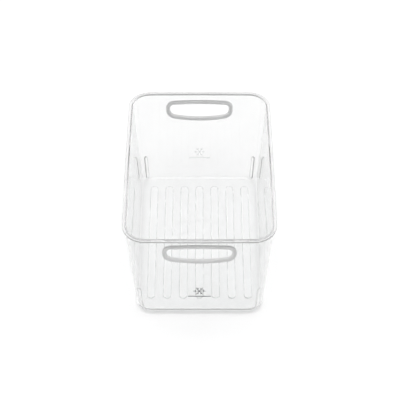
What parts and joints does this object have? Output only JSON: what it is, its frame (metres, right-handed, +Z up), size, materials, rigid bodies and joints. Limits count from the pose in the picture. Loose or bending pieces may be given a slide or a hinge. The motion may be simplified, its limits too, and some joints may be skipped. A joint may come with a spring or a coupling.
{
  "type": "fridge bin",
  "caption": "Clear open-top storage bin with tapered walls, a turned-out rim, ribbed floor and a soft grip ring round the hand hole in each end wall.",
  "frame": {"origin": "centre of the footprint, on the surface the bin stands on", "axes": "+Z up, +Y along the length towards the rear end, +X across the width to the right"},
  "size_m": [0.2118, 0.3118, 0.163],
  "materials": {
    "clear_plastic": "crystal clear, polished, faintly uneven from moulding",
    "soft_grip": "light grey matte soft-touch rubber"
  },
  "bodies": {
    "root": {"bin_shell": "clear_plastic", "front_grip": "soft_grip", "rear_grip": "soft_grip"}
  },
  "joints": []
}
